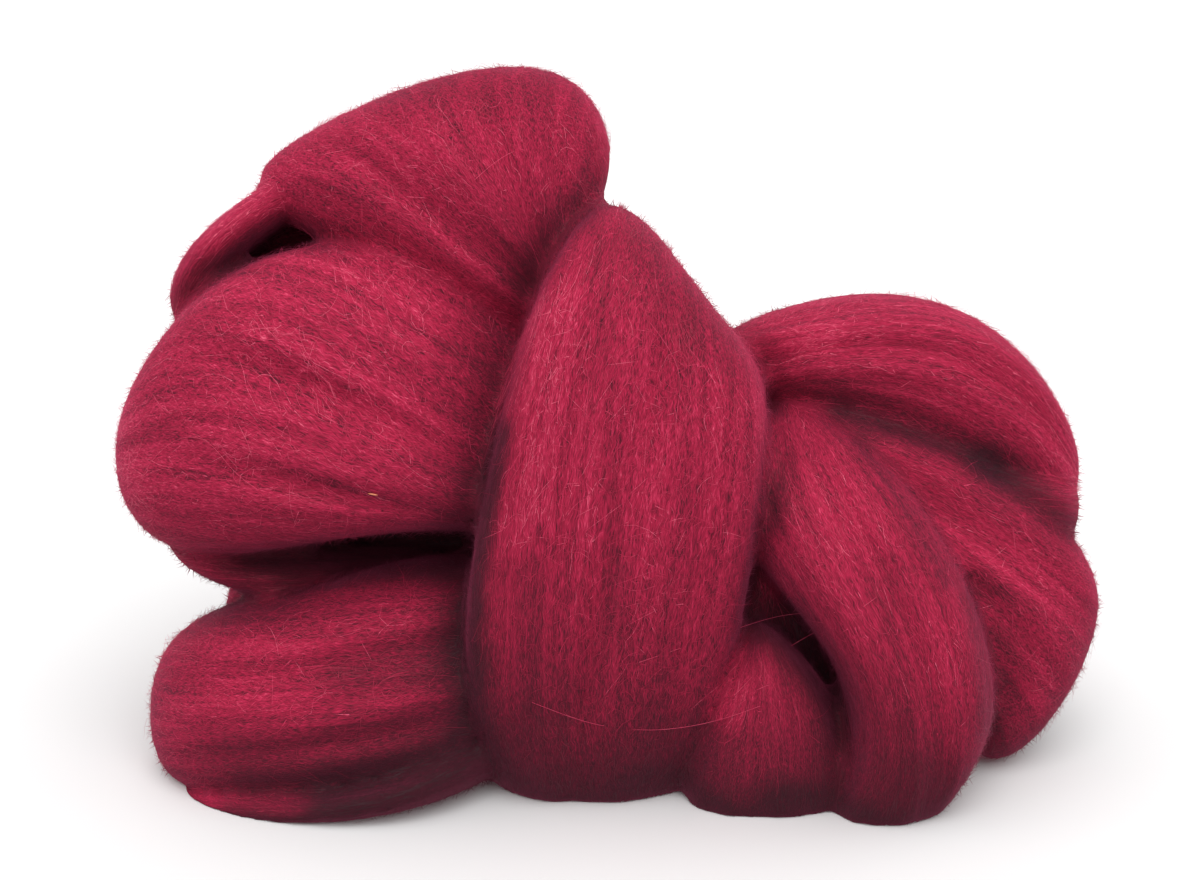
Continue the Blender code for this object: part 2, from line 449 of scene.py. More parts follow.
def place_on_lap(lap, across, turn):
    """Places on a lap's face: across is -1 to 1 over the fibres; turn is 0 at the lap's end,
    down to -pi at its root along the front, and up to pi at its root along the back."""
    reach = bowed(np.cos(turn), LOOP_ROUNDNESS) * tapered(across, CORNER_ROUNDNESS)
    row_weights = spread(len(lap["rows"]), (1 + across) / 2)
    out_weights = spread(4, (1 + reach) / 2)
    x = h = 0
    for row_weight, row in zip(row_weights, lap["rows"]):
        for out_weight, (row_x, row_h) in zip(out_weights, row):
            x = x + row_weight * out_weight * row_x
            h = h + row_weight * out_weight * row_h
    depth = sum(weight * middle for weight, middle in zip(out_weights, lap["depth"]))
    half = np.where(np.sin(turn) > 0, lap["back"], lap["front"]) * tapered(across, lap["edge"])
    half = half + relief(lap, across, turn, (1 + reach) / 2)
    depth = depth + half * bowed(np.sin(turn), LOOP_ROUNDNESS)
    y = FRONT_EDGE_Y + h * math.sin(VIEW_TILT) + depth * math.cos(VIEW_TILT)
    z = h * math.cos(VIEW_TILT) - depth * math.sin(VIEW_TILT)
    return np.stack([x - MIDDLE_X, y, z], axis=-1) * MM


ball_shape = bmesh.new()
bmesh.ops.create_uvsphere(ball_shape, u_segments=LOOP_STEPS, v_segments=ACROSS_STEPS, radius=1)
ball = bpy.data.meshes.new("ball")
ball_shape.to_mesh(ball)
ball_shape.free()
on_ball = np.empty(len(ball.vertices) * 3, np.float32)
ball.vertices.foreach_get("co", on_ball)
on_ball = on_ball.reshape(-1, 3).astype(float)
ball_across = np.clip(on_ball[:, 2], -1, 1)
ball_turn = np.arctan2(on_ball[:, 1], on_ball[:, 0])

laps_shape = bmesh.new()
for number, lap in enumerate(LAPS.values()):
    lap["seed"] = LAP_SEEDS + number
    places = place_on_lap(lap, ball_across, ball_turn)
    ball.vertices.foreach_set("co", places.astype(np.float32).ravel())
    laps_shape.from_mesh(ball)
bpy.data.meshes.remove(ball)
bmesh.ops.recalc_face_normals(laps_shape, faces=laps_shape.faces)
laps_tree = BVHTree.FromBMesh(laps_shape)
corners_of_face = [[vert.index for vert in face.verts] for face in laps_shape.faces]
laps_places = [vert.co.copy() for vert in laps_shape.verts]

roving_laps = bpy.data.objects.new("roving_laps", bpy.data.meshes.new("roving_laps"))
laps_shape.to_mesh(roving_laps.data)
laps_shape.free()
bpy.context.scene.collection.objects.link(roving_laps)
pressed = roving_laps.modifiers.new("laps pressed together", "REMESH")
pressed.mode = "VOXEL"
pressed.voxel_size = WOOL_VOXEL
softened = roving_laps.modifiers.new("softened", "SMOOTH")
softened.factor = 0.5
softened.iterations = WOOL_SMOOTHING
settled = bpy.data.meshes.new_from_object(
    roving_laps.evaluated_get(bpy.context.evaluated_depsgraph_get())
)
roving_laps.modifiers.clear()
roving_laps.data = settled
wool_places = np.empty(len(settled.vertices) * 3, np.float32)
settled.vertices.foreach_get("co", wool_places)
wool_places = wool_places.reshape(-1, 3)
settled_normals = np.empty(len(settled.vertices) * 3, np.float32)
settled.vertex_normals.foreach_get("vector", settled_normals)
facing_up = np.maximum(settled_normals[2::3], 0)
wool_places[:, 2] = np.maximum(wool_places[:, 2], FLOOR_GAP + FLOOR_LIP * facing_up)
settled.vertices.foreach_set("co", wool_places.ravel())
settled.shade_smooth()
settled.update()
wool_shape = bmesh.new()
wool_shape.from_mesh(settled)
wool_tree = BVHTree.FromBMesh(wool_shape)
wool_shape.free()
wool_points = [Vector(place) for place in wool_places]
wool_normals = [vert.normal.copy() for vert in settled.vertices]
wool_faces = [tuple(face.vertices) for face in settled.polygons]

# How open each point lies: 1 on a lap's back, towards 0 down in a fold between two laps or
# where the wool turns under to the floor. It comes from how far rays run from the point before
# they meet other wool or the floor, evened out over the points beside it. It is painted shade:
# the colours of the wool and its strands are darkened by it in the folds and near the floor.
OPEN_RAYS = 16
RAY_TURN = 2.4
RAY_START = 0.0004
OPEN_REACH = 0.035
FLOOR_REACH = 0.09
CLOSED = 0.25
OPEN = 0.98
OPEN_CURVE = 1.4
EVENING_ROUNDS = 4
around = [RAY_TURN * k for k in range(OPEN_RAYS)]
shares = [(k + 0.5) / OPEN_RAYS for k in range(OPEN_RAYS)]
rays = [
    (math.sqrt(share) * math.cos(angle), math.sqrt(share) * math.sin(angle), math.sqrt(1 - share))
    for angle, share in zip(around, shares)
]
openness = np.zeros(len(wool_points))
for k, (place, normal) in enumerate(zip(wool_points, wool_normals)):
    side = normal.orthogonal().normalized()
    other = normal.cross(side)
    start = place + normal * RAY_START
    for a, b, c in rays:
        ray = side * a + other * b + normal * c
        _, facing, _, away = wool_tree.ray_cast(start, ray, OPEN_REACH)
        if away is None:
            away = OPEN_REACH
        elif facing.dot(ray) > 0:
            away = 0
        to_floor = max(start.z, 0) / max(-ray.z, 1e-6)
        openness[k] += min(away / OPEN_REACH, to_floor / FLOOR_REACH) / OPEN_RAYS
wool_edges = np.empty(len(settled.edges) * 2, np.int32)
settled.edges.foreach_get("vertices", wool_edges)
ends = np.concatenate([wool_edges.reshape(-1, 2), wool_edges.reshape(-1, 2)[:, ::-1]])
for _ in range(EVENING_ROUNDS):
    beside = np.bincount(ends[:, 0], openness[ends[:, 1]]) / np.bincount(ends[:, 0])
    openness = (openness + beside) / 2
openness = np.clip((openness - CLOSED) / (OPEN - CLOSED), 0, 1) ** OPEN_CURVE

# Painted shade (below 0) and painted light (above 0), laid into the openness along lines on the
# drawing: the ends of a line, its half width (mm), and how much it changes the openness. The
# laps behind keep theirs: a line fades out over PAINTED_LINES_FADE up to the depth it reaches
# (mm). With the painted light the openness goes up to MOST_OPEN.
PAINTED_LINES_REACH = 45
PAINTED_LINES_FADE = 10
MOST_OPEN = 1.2
PAINTED_LIGHT_AND_SHADE = [
    ((-20.5, 79), (-27, 44), 2.4, -0.75),
    ((-27, 44), (-27, 10), 3.0, -0.60),
    ((-54, 6), (-28, 14), 5.5, -0.80),
    ((-58, 48), (-30, 46), 3.5, 0.28),
    ((-52, 31), (-28, 33), 6.0, -0.36),
    ((-16, 52), (-14, 26), 7.0, -0.22),
    ((46, 83), (76, 74), 2.5, -0.35),
    ((76, 72), (94, 60), 5.0, -0.60),
    ((50, 76), (66, 50), 3.0, -0.34),
    ((71, 46), (76, 20), 2.5, -0.35),
    ((8, 6), (20, 1), 4.5, -0.80),
    ((36, 4), (48, 0), 4.5, -0.80),
    ((-2, 119), (2, 40), 2.2, -0.18),
    ((4, 117), (26, 90), 6.0, -0.26),
    ((-40, 146), (-12, 149), 7.0, -0.26),
    ((54, 50), (59, 16), 6.0, -0.20),
    ((-72, 126), (-18, 101), 5.0, 0.40),
    ((-20, 101), (-26, 80), 6.0, 0.30),
    ((-90, 14), (-84, 8), 8.0, 0.60),
    ((30, 98), (42, 97), 5.0, 0.35),
    ((34, 88), (37, 83), 6.0, 0.55),
    ((32, 56), (33, 48), 3.5, 0.60),
    ((27, 36), (23, 24), 3.5, 0.45),
    ((80, 14), (90, 26), 7.0, 0.40),
    ((-8, 104), (-17, 58), 3.5, 0.22),
    ((-68, 97), (-42, 79), 4.0, 0.20),
    ((-98, 84), (-93, 60), 5.0, 0.20),
    ((97, 78), (97, 64), 5.0, 0.20),
    ((-76, 117), (-64, 118), 4.0, 0.30),
]
sheet_y = wool_places[:, 1] / MM - FRONT_EDGE_Y
sheet_z = wool_places[:, 2] / MM
on_sheet = np.stack([
    wool_places[:, 0] / MM + MIDDLE_X,
    sheet_y * math.sin(VIEW_TILT) + sheet_z * math.cos(VIEW_TILT),
], axis=-1)
sheet_depth = sheet_y * math.cos(VIEW_TILT) - sheet_z * math.sin(VIEW_TILT)
in_front = np.clip((PAINTED_LINES_REACH - sheet_depth) / PAINTED_LINES_FADE, 0, 1)
# Each line adds its painted shade (below 0) and painted light (above 0).
for start, end, half_width, painted_change in PAINTED_LIGHT_AND_SHADE:
    line = np.subtract(end, start)
    along = np.clip((on_sheet - start) @ line / (line @ line), 0, 1)
    away = np.linalg.norm(on_sheet - start - along[:, None] * line, axis=-1)
    openness += painted_change * in_front * np.exp(-((away / half_width) ** 2))
openness = np.clip(openness, 0, MOST_OPEN)
# The openness, with its painted shade and light, goes with the wool to its material.
settled.attributes.new("openness", "FLOAT", "POINT").data.foreach_set(
    "value", openness.astype(np.float32)
)

# How far the fibres of a lap slant over it on their way from its root to its end, in the measure
# of across.
SLANTS = {
    "left_middle": -0.55,
    "left_low": -0.2,
    "right_outer": -0.3,
}


def slant(name, turn):
    """How far a lap's fibres have slanted by that turn."""
    return SLANTS.get(name, 0) * (1 + bowed(np.cos(turn), LOOP_ROUNDNESS)) / 2


# Each point of the wool keeps its lay, the line of fibres it is on: millimetres across its lap
# and along the fibres, and LAP_STEP more for each lap, so that no two have the same streaks.
ACROSS_TO_MM = 34.0
TURN_TO_MM = 36.0
LAP_STEP = 37.0
corner_lays = [
    np.stack([(ball_across - slant(name, ball_turn)) * ACROSS_TO_MM, ball_turn * TURN_TO_MM], -1)
    for name in LAPS
]
# The waist shows only as the back of the binding, whose fibres run up over it and not along it.
CROSSWISE = {"waist": math.radians(90)}
waist_number = list(LAPS).index("waist")
corner_lays[waist_number] = corner_lays[waist_number][:, ::-1]
wool_lay = np.zeros((len(wool_places), 3), np.float32)
for k, place in enumerate(wool_places):
    near, _, face, _ = laps_tree.find_nearest(Vector(place))
    corners = corners_of_face[face]
    closeness = [1 / ((laps_places[corner] - near).length + 1e-6) for corner in corners]
    lap_number, _ = divmod(corners[0], len(ball_across))
    lay = sum(
        share * corner_lays[lap_number][corner % len(ball_across)]
        for share, corner in zip(closeness, corners)
    ) / sum(closeness)
    wool_lay[k] = (*lay, lap_number * LAP_STEP)
lay_layer = settled.attributes.new("lay", "FLOAT_VECTOR", "POINT")
lay_layer.data.foreach_set("vector", wool_lay.ravel())


class Dye:
    """A socket in a material. Arithmetic on it adds Math nodes."""

    def __init__(self, tree, socket=None):
        self.tree = tree
        self.socket = socket

    def node(self, kind, settings, inputs, output=0):
        """A node of that kind, with its settings first and then its sockets' values or links."""
        made = self.tree.nodes.new(kind)
        for name, value in settings.items():
            if name == "stops":
                for stop, (at, colour) in zip(made.color_ramp.elements, value):
                    stop.position = at
                    stop.color = (*colour, 1)
                for at, colour in value[len(made.color_ramp.elements) :]:
                    made.color_ramp.elements.new(at).color = (*colour, 1)
            else:
                setattr(made, name, value)
        for name, value in inputs.items():
            if isinstance(value, Dye):
                self.tree.links.new(value.socket, made.inputs[name])
            else:
                made.inputs[name].default_value = value
        return Dye(self.tree, made.outputs[output])

    def maths(self, operation, *terms):
        """A Math node of that operation on sockets or numbers."""
        return self.node("ShaderNodeMath", {"operation": operation}, dict(enumerate(terms)))

    def __add__(self, other):
        return self.maths("ADD", self, other)

    __radd__ = __add__

    def __sub__(self, other):
        return self.maths("SUBTRACT", self, other)

    def __rsub__(self, other):
        return self.maths("SUBTRACT", other, self)

    def __mul__(self, other):
        return self.maths("MULTIPLY", self, other)

    __rmul__ = __mul__


# The wool's colours from the shade between fibres, and the painted shade deep in a fold, to the
# palest single fibre in the light.
WOOL_SHADES = [
    (0.0, (0.042, 0.0110, 0.017)),
    (0.25, (0.130, 0.0110, 0.026)),
    (0.6, (0.440, 0.0170, 0.060)),
    (0.85, (0.640, 0.0400, 0.110)),
    (1.0, (0.850, 0.1300, 0.220)),
]
BLOOM = 0.30
BLOOM_SPREAD = 0.5
BLOOM_COLOUR = (1.0, 0.14, 0.32)


def wool_finish(name, roughness, gloss):
    """A material with the wool's gloss and its bloom at a glancing angle, its Principled node,
    and a Dye to add its other nodes."""
    finish = bpy.data.materials.new(name)
    finish.use_nodes = True
    shader = finish.node_tree.nodes["Principled BSDF"]
    shader.inputs["Roughness"].default_value = roughness
    shader.inputs["Specular IOR Level"].default_value = gloss
    shader.inputs["Sheen Weight"].default_value = BLOOM
    shader.inputs["Sheen Roughness"].default_value = BLOOM_SPREAD
    shader.inputs["Sheen Tint"].default_value = (*BLOOM_COLOUR, 1)
    return finish, shader, Dye(finish.node_tree)


def streaks(dye, lay, width, length, lean):
    """Noise drawn out along the fibres, as streaks of this width and length (mm) at this lean."""
    drawn = dye.node(
        "ShaderNodeMapping",
        {"vector_type": "TEXTURE"},
        {"Vector": lay, "Rotation": (0, 0, math.radians(lean)), "Scale": (width, length, 1)},
    )
    return dye.node(
        "ShaderNodeTexNoise",
        {"noise_dimensions": "3D"},
        {"Vector": drawn, "Scale": 1.0, "Detail": 2.0, "Roughness": 0.6, "Distortion": 0.4},
    )


# How strongly the grain and the broad streaks of the dye show where the wool lies open, how much
# darker it is all over, and from what grain up a fibre still shows in a fold. The openness is
# painted shade: it darkens the wool's colour in the folds and near the floor.
GRAIN_SHOWS = 2.4
BROAD_SHOWS = 0.8
DARKER = 1.08
FOLD_GRAIN = 0.49
GRAIN_HEIGHT = 0.0004

finish, shader, dye = wool_finish("packed_wool", roughness=0.8, gloss=0.1)
lay = dye.node("ShaderNodeAttribute", {"attribute_name": "lay"}, {}, "Vector")
fine = streaks(dye, lay, width=0.26, length=1.7, lean=4)
crossing = streaks(dye, lay, width=0.28, length=1.3, lean=27)
crossing_back = streaks(dye, lay, width=0.28, length=1.3, lean=-23)
broad = streaks(dye, lay, width=2.6, length=30, lean=0)
painted_shade_opened = dye.node("ShaderNodeAttribute", {"attribute_name": "openness"}, {}, "Fac")
grain = fine * 0.4 + crossing * 0.3 + crossing_back * 0.3
# Painted shade: the wool's tone is darkened by its openness, and in a fold only its grain shows.
tone_in_painted_light = (grain * GRAIN_SHOWS + broad * BROAD_SHOWS - DARKER) * painted_shade_opened
grain_in_painted_shade = (grain - FOLD_GRAIN) * (MOST_OPEN - painted_shade_opened)
shade = tone_in_painted_light + grain_in_painted_shade
colour = dye.node("ShaderNodeValToRGB", {"stops": WOOL_SHADES}, {"Fac": shade})
raised = dye.node(
    "ShaderNodeBump",
    {},
    {"Height": grain + broad * 0.5, "Strength": 0.6, "Distance": GRAIN_HEIGHT},
)
dye.tree.links.new(colour.socket, shader.inputs["Base Color"])
dye.tree.links.new(raised.socket, shader.inputs["Normal"])
settled.materials.clear()
settled.materials.append(finish)

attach(roving_laps, "root")
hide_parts("roving_hank")


# ---- The fibres ---------------------------------------------------------------------------------
# Long fine wool fibres, combed nearly parallel, that run along each lap from its root to its end
# and back, dive into the folds between laps, and stand a little proud in places. Each drawn
# strand stands for a few fibres that lie together, held by their crimp.

# How thick a strand is along its length, against its full thickness.
FIBRE_TAPER = (0.3, 0.85, 1.0, 1.0, 0.8, 0.25)
# A strand is dropped where it would run further than this under the wool's face.
MOST_HIDDEN = 0.0022
# No strand is laid on the wool's underside, below this height.
FLOOR_STRIP = 0.0008
# A strand needs this many points on wool that shows, and this much room from one to the next.
FEWEST_POINTS = 3
SHORTEST_STEP = 0.0004
# The grid of places over a lap where a strand may start, and how near to a lap's sides the
# starts and the strands come.
GRID_ACROSS = 61
GRID_TURN = 121
STARTS_REACH = 0.975
STRANDS_REACH = 0.985
# How far a strand takes the light as the wool's face under it does, and not as a round bar.
LIT_AS_WOOL = 0.8
# A strand's breadth and height across, against its thickness times the bar's own radius.
BAR_BREADTH = 0.58
BAR_HEIGHT = 0.30
# The UV map leaves this much free at a bar's end faces, and round each strand's cell.
END_MARGIN = 0.04
CELL_MARGIN = 0.12

# The kinds of strands: how many points to a strand, its length (mm), how far it leans across the
# lay (degrees) and bends (degrees in a millimetre), its crimp (mm), how high its root lies over
# the wool (mm) and how far its free end rises from there on average (mm), its thickness (mm), its
# shade (0 to 1) and about how much paler it may be, and whether it bridges the folds between laps
# or follows them. A strand of two points is a spike.
COMBED = {
    "points": 5, "length": (3, 9), "lean": 15, "bend": 7, "crimp": 0.2, "lie": (-0.03, 0.12),
    "rise": 0.05, "thick": (0.09, 0.17), "shade": 0.50, "paler": 0.13, "bridging": False,
}
COMBED_BEHIND = COMBED | {
    "length": (6, 16), "bend": 5, "lie": (-0.03, 0.15), "thick": (0.12, 0.24),
}
LOOSE = {
    "points": 5, "length": (4, 12), "lean": 50, "bend": 14, "crimp": 0.3, "lie": (0.02, 0.25),
    "rise": 0.4, "thick": (0.05, 0.085), "shade": 0.66, "paler": 0.18, "bridging": True,
}
MATTED = {
    "points": 5, "length": (2.5, 6), "lean": 40, "bend": 26, "crimp": 0.2, "lie": (0.0, 0.12),
    "rise": 0.15, "thick": (0.06, 0.12), "shade": 0.56, "paler": 0.20, "bridging": False,
}
ENDS = {
    "points": 2, "length": (0.9, 3.2), "lean": 75, "bend": 0, "crimp": 0, "lie": (-0.05, 0.05),
    "rise": 0.85, "thick": (0.36, 0.66), "shade": 0.52, "paler": 0.18, "bridging": False,
}
LEFT_LAPS = ["left_top", "left_top_turn", "left_middle", "left_under", "left_low", "left_foot"]
RIGHT_LAPS = ["right_top", "right_turn", "right_outer", "right_front", "tail_end"]
BACK_LAPS = ["back_top", "back_left", "back_right", "back_left_low", "back_right_low", "waist"]

# Each piece, the laps it lies on, how many strands are laid out for it, and their kind.
FIBRE_PIECES = [
    ("binding_fibres", ["binding"], 2300, COMBED),
    ("left_fibres", LEFT_LAPS, 3000, COMBED),
    ("right_fibres", RIGHT_LAPS, 2500, COMBED),
    ("back_fibres", BACK_LAPS, 1500, COMBED_BEHIND),
    ("loose_fibres", list(LAPS), 7800, LOOSE),
    ("matted_fibres", list(LAPS), 7800, MATTED),
    ("fibre_ends", list(LAPS), 47000, ENDS),
]
# Each piece draws its strands from a seed of its own, counted from this one.
FIBRE_SEEDS = 1000
# How far along the lap a strand may lie from its place on the grid, and how long the waves of its
# crimp are.
START_SPREAD = 0.002
CRIMP_WAVES = (0.006, 0.012)
# The most that a free end rises (mm), and how late along the strand it does.
MOST_RISE = 1.6
RISE_CURVE = 1.5
# Strands in one lock look alike: waves over a lap, along it (for a metre) and from lap to lap, by
# which neighbours lean the same way, and by which locks differ in shade.
LEAN_WAVE = (7, 110, 1)
LEAN_TOGETHER = 0.5
LEAN_APART = 0.8
SHADE_WAVES = [(23, 0, 1), (41, 60, 1.7)]
LOCKS_DIFFER = 0.03


def showing_spots(lap):
    """A grid of places over a lap's face: their across and turn, how much face that shows each
    stands for, and how far along the fibres each lies from the lap's root."""
    across = np.linspace(-STARTS_REACH, STARTS_REACH, GRID_ACROSS)
    turn = np.linspace(-math.pi, math.pi, GRID_TURN)
    across, turn = np.meshgrid(across, turn, indexing="ij")
    places = place_on_lap(lap, across, turn)
    along = np.linalg.norm(np.gradient(places, axis=1), axis=-1)
    sideways = np.linalg.norm(np.gradient(places, axis=0), axis=-1)
    share = along * sideways
    for k in np.ndindex(share.shape):
        nearest = wool_tree.find_nearest(Vector(places[k]))
        if nearest[3] > MOST_HIDDEN or places[k][2] < FLOOR_STRIP:
            share[k] = 0
    runs = np.concatenate([np.zeros((GRID_ACROSS, 1)), np.cumsum(along[:, 1:], axis=1)], axis=1)
    return across, turn, share, runs


def wool_under(place):
    """The nearest point of the wool's face, its normal, how open it lies (its painted shade), and
    how far off it is.
    """
    near, _, face, away = wool_tree.find_nearest(place)
    normal = Vector((0, 0, 0))
    painted_shade_opened = total = 0
    for corner in wool_faces[face]:
        weight = 1 / ((wool_points[corner] - near).length + 1e-5)
        normal += wool_normals[corner] * weight
        painted_shade_opened += openness[corner] * weight
        total += weight
    return near, normal.normalized(), painted_shade_opened / total, away


def laid_on_wool(places, lifts, bridging):
    """The strand's longest showing stretch, laid on the wool's face: a row of place, normal and
    openness, its painted shade, for each of its points, or None for a stub."""
    laid = []
    best = []
    for place, lift in zip(places, lifts):
        near, normal, painted_shade_opened, away = wool_under(Vector(place))
        if away > MOST_HIDDEN or near.z < FLOOR_STRIP:
            laid = []
            continue
        spot = near + normal * lift
        spot.z = max(spot.z, FLOOR_STRIP)
        laid.append((*spot, *normal, painted_shade_opened))
        if len(laid) > len(best):
            best = laid
    if len(best) < FEWEST_POINTS:
        return None
    at = np.linspace(0, len(best) - 1, len(places))
    strand = np.stack([np.interp(at, range(len(best)), of) for of in zip(*best)], axis=-1)
    if bridging:
        straight = np.linspace(strand[0, :3], strand[-1, :3], len(at))
        over = np.sum((straight - strand[:, :3]) * strand[:, 3:6], axis=-1) > 0
        strand[over, :3] = straight[over]
        # It keeps the most open painted shade along it, so it stays pale over a fold.
        strand[:, 6] = strand[:, 6].max()
    steps = np.linalg.norm(np.diff(strand[:, :3], axis=0), axis=-1)
    return strand if steps.min() > SHORTEST_STEP else None


def plain_bar(rings):
    """One straight, three-sided bar with closed ends, its UV map running round it and along it.
    With only two rings it is a spike, and its second ring is its point."""
    bar = bmesh.new()
    long = rings - 1
    tip = 1 if rings > 2 else 0
    bmesh.ops.create_cone(bar, cap_ends=True, segments=3, radius1=1, radius2=tip, depth=long)
    for ring in range(1, rings - 1):
        everything = bar.verts[:] + bar.edges[:] + bar.faces[:]
        at = (0, 0, ring - long / 2)
        bmesh.ops.bisect_plane(bar, geom=everything, plane_co=at, plane_no=(0, 0, 1))
    layer = bar.loops.layers.uv.new("OFBake")
    for face in bar.faces:
        middle = face.calc_center_median()
        for loop in face.loops:
            corner = loop.vert.co
            if abs(face.normal.z) > 0.9:
                # An end face has a small triangle of its own, beyond the bar's end.
                beyond = math.copysign(END_MARGIN, middle.z) * (2 + corner.y)
                loop[layer].uv = (0.5 + corner.x / 2, (corner.z + beyond) / long + 0.5)
            else:
                side = round(math.atan2(middle.y, middle.x) / math.radians(60) + 1) // 2 % 3
                ahead = middle.x * corner.y - middle.y * corner.x > 0
                loop[layer].uv = ((side + ahead) / 3, corner.z / long + 0.5)
    shape = bpy.data.meshes.new("plain_bar")
    bar.to_mesh(shape)
    bar.free()
    return shape


def strand_mesh(name, strands, widths, shades):
    """Every strand as a fine three-sided bar, low and broad on the wool, all in one mesh."""
    strands = np.array(strands)
    count, rings, _ = strands.shape
    shape = plain_bar(rings)
    place_on_bar = np.array([vert.co for vert in shape.vertices])
    drawn = bpy.data.objects.new("drawn", shape)
    bpy.context.scene.collection.objects.link(drawn)
    copies = drawn.modifiers.new("one to each strand", "ARRAY")
    copies.count = count
    copies.use_relative_offset = False
    wool = bpy.data.meshes.new_from_object(
        drawn.evaluated_get(bpy.context.evaluated_depsgraph_get())
    )
    bpy.data.objects.remove(drawn)
    wool.name = name

    # At each of its points: the way along the strand, sideways over the wool, and up off it.
    along = np.gradient(strands[..., :3], axis=1)
    along /= np.linalg.norm(along, axis=-1, keepdims=True)
    up = strands[..., 3:6]
    sideways = np.cross(up, along)
    sideways /= np.linalg.norm(sideways, axis=-1, keepdims=True) + 1e-9
    up = np.cross(along, sideways)
    taper = np.interp(np.linspace(0, 1, rings), np.linspace(0, 1, len(FIBRE_TAPER)), FIBRE_TAPER)
    size = np.array(widths)[:, None, None] * taper[:, None]
    ring = np.round(place_on_bar[:, 2] + (rings - 1) / 2).astype(int)
    places = (
        strands[:, ring, :3]
        + (size * sideways)[:, ring] * (place_on_bar[:, 0, None] * BAR_BREADTH)
        + (size * up)[:, ring] * (place_on_bar[:, 1, None] * BAR_HEIGHT)
    )
    wool.vertices.foreach_set("co", places.astype(np.float32).ravel())
    wool.update()

    # Each strand has its own cell of the UV map.
    layer = wool.uv_layers["OFBake"].data
    uv = np.empty(len(layer) * 2, np.float32)
    layer.foreach_get("uv", uv)
    cells = math.ceil(math.sqrt(count))
    row, column = np.divmod(np.repeat(np.arange(count), len(layer) // count), cells)
    in_cell = CELL_MARGIN + (1 - 2 * CELL_MARGIN) * uv.reshape(-1, 2)
    uv = (np.stack([column, row], axis=-1) + in_cell) / cells
    layer.foreach_set("uv", uv.astype(np.float32).ravel())

    # Its face is lit as LIT_AS_WOOL tells, and painted shade darkens it where the wool under it
    # lies closed.
    wool.shade_smooth()
    own = np.empty(len(wool.vertices) * 3, np.float32)
    wool.vertex_normals.foreach_get("vector", own)
    lit_by = LIT_AS_WOOL * strands[:, ring, 3:6].reshape(-1, 3)
    lit_by = lit_by + (1 - LIT_AS_WOOL) * own.reshape(-1, 3)
    lit_by /= np.linalg.norm(lit_by, axis=-1, keepdims=True)
    wool.normals_split_custom_set_from_vertices(lit_by)
    shade = np.array(shades)[:, None] * strands[:, ring, 6]
    shade = np.clip(shade, 0, 1).astype(np.float32).ravel()
    wool.attributes.new("shade", "FLOAT", "POINT").data.foreach_set("value", shade)
    return wool


spots_of_lap = {name: showing_spots(lap) for name, lap in LAPS.items()}


def strands_over(name, kind, wanted, chance):
    """That many strands of one kind over a lap: the places of each one's points, how high these
    stand over the wool, its shade and its thickness."""
    across, turn, share, runs = spots_of_lap[name]
    own = LAPS[name]["seed"]

    def wave(over, along, by_lap):
        return np.sin(over * start_across + along * centre + by_lap * own)

    # Where each strand's middle lies, over the lap and along its fibres.
    picked = chance.choice(share.size, size=wanted, p=share.ravel() / share.sum())
    row, column = np.unravel_index(picked, share.shape)
    off_grid = chance.uniform(-0.5, 0.5, wanted) * 2 * STARTS_REACH / GRID_ACROSS
    start_across = across[row, column] + off_grid
    length = chance.uniform(*kind["length"], wanted) * MM
    centre = runs[row, column] + chance.uniform(-0.5, 0.5, wanted) * START_SPREAD
    t = np.linspace(-0.5, 0.5, max(kind["points"], FEWEST_POINTS))
    reach = length[:, None] * t

    # Which way it heads at each point, against the fibres' own way, and how far ahead and aside
    # of its middle that takes it.
    apart = chance.normal(0, LEAN_APART, wanted)
    lean = np.radians(kind["lean"]) * (LEAN_TOGETHER * wave(*LEAN_WAVE) + apart)
    bend = np.radians(kind["bend"]) * chance.normal(0, 1.0, (wanted, 1)) / MM
    heading = lean[:, None] + bend * reach + CROSSWISE.get(name, 0)
    step = np.diff(reach, axis=1)
    ahead = np.cumsum(np.cos(heading[:, 1:]) * step, axis=1)
    aside = np.cumsum(np.sin(heading[:, 1:]) * step, axis=1)
    ahead = np.c_[np.zeros(wanted), ahead] - ahead[:, -1:] / 2
    aside = np.c_[np.zeros(wanted), aside] - aside[:, -1:] / 2
    turns = np.stack([
        np.interp(centre[k] + ahead[k], runs[row[k]], turn[row[k]]) for k in range(wanted)
    ])

    # It swings from side to side with its crimp, and slants over the lap as the fibres there do.
    swing = 2 * math.pi * reach / chance.uniform(*CRIMP_WAVES, (wanted, 1))
    crimp = kind["crimp"] * np.sin(swing + chance.uniform(0, 2 * math.pi, (wanted, 1)))
    slanting = slant(name, turns)
    slanting -= slanting[:, slanting.shape[1] // 2, None]
    acrosses = start_across[:, None] + (aside / MM + crimp) / ACROSS_TO_MM + slanting
    acrosses = np.clip(acrosses, -STRANDS_REACH, STRANDS_REACH)

    # It stands off the wool towards its free end, and takes its lock's shade.
    lie = chance.uniform(*kind["lie"], wanted)
    rise = np.minimum(kind["rise"] * chance.exponential(1.0, wanted), MOST_RISE)
    lifts = (lie[:, None] + rise[:, None] * (0.5 + t) ** RISE_CURVE) * MM
    lock = sum(wave(*shade_wave) for shade_wave in SHADE_WAVES)
    paler = np.abs(chance.normal(0, kind["paler"], wanted))
    shades = kind["shade"] + LOCKS_DIFFER * lock + paler
    thick = chance.uniform(*kind["thick"], wanted) * MM
    return place_on_lap(LAPS[name], acrosses, turns), lifts, shades, thick


finish, shader, dye = wool_finish("wool_fibre", roughness=0.55, gloss=0.2)
# A strand's shade holds the painted shade of the wool under it.
shade = dye.node("ShaderNodeAttribute", {"attribute_name": "shade"}, {}, "Fac")
place = dye.node("ShaderNodeTexCoord", {}, {}, "Object")
mottle = dye.node("ShaderNodeTexNoise", {}, {"Vector": place, "Scale": 1300.0, "Detail": 1.0})
shade = shade * (mottle * 0.9 + 0.55)
colour = dye.node("ShaderNodeValToRGB", {"stops": WOOL_SHADES}, {"Fac": shade})
dye.tree.links.new(colour.socket, shader.inputs["Base Color"])

